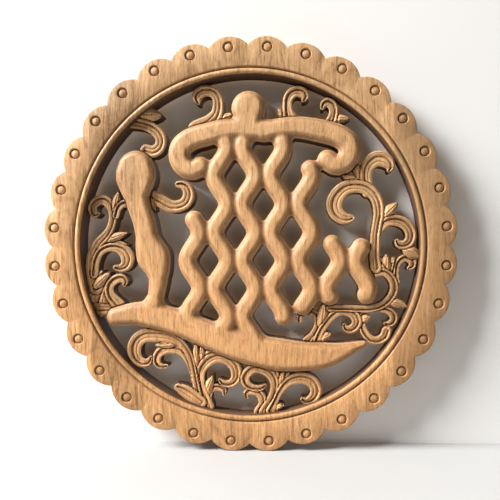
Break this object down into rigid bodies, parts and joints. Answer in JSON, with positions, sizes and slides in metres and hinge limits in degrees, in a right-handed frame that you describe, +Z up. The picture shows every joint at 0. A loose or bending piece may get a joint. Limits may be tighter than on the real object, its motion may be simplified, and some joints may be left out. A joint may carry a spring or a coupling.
{
  "type": "carved wall panel",
  "caption": "Round pierced wooden wall panel: a scalloped, studded rim round open scrollwork, wavy bars under a curled canopy, a gourd and a crescent.",
  "frame": {"origin": "centre of the flat back face, where the panel lies against the wall", "axes": "+Z up, +X to the viewer's right, +Y into the wall; the carved face looks towards -Y"},
  "size_m": [0.4978, 0.025, 0.4978],
  "materials": {
    "camphor_wood": "satin oiled"
  },
  "bodies": {
    "root": {"carved_panel": "camphor_wood"}
  },
  "joints": []
}
